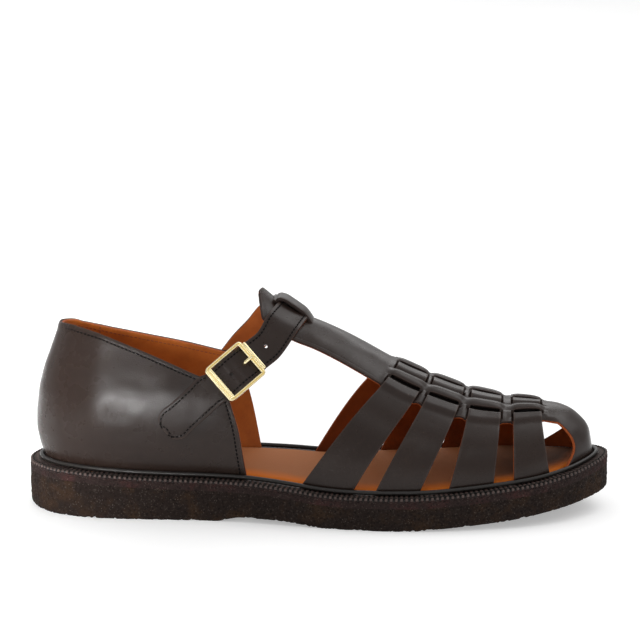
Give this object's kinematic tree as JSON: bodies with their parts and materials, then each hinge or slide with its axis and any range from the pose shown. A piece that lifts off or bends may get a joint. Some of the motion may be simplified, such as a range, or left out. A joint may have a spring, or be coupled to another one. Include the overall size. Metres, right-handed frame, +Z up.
{
  "type": "fisherman sandal",
  "caption": "Right fisherman sandal: closed heel, woven cross straps through a T-bar, buckled instep strap over a thick crepe sole.",
  "frame": {"origin": "middle of the sandal's outline on the floor", "axes": "+X towards the toe, +Y towards the medial side of the right foot, +Z up"},
  "size_m": [0.3, 0.104, 0.1122],
  "materials": {
    "upper_leather": "smooth dark brown leather, semi-gloss",
    "lining_leather": "natural tan leather, matte",
    "welt_leather": "near-black waxed welt, matte",
    "bead_leather": "near-black rolled bead, polished",
    "midsole_rubber": "dark red-brown rubber, matte",
    "crepe": "dark brown crepe rubber, rough and pitted",
    "brass": "pale polished brass"
  },
  "bodies": {
    "root": {"outsole": "crepe", "midsole": "midsole_rubber", "welt": "welt_leather", "welt_bead": "bead_leather", "insole": "lining_leather", "quarter": "upper_leather", "vamp": "upper_leather", "instep_strap": "upper_leather", "buckle_strap": "upper_leather", "strap_loop": "upper_leather", "buckle_frame": "brass", "buckle_prong": "brass"}
  },
  "joints": []
}
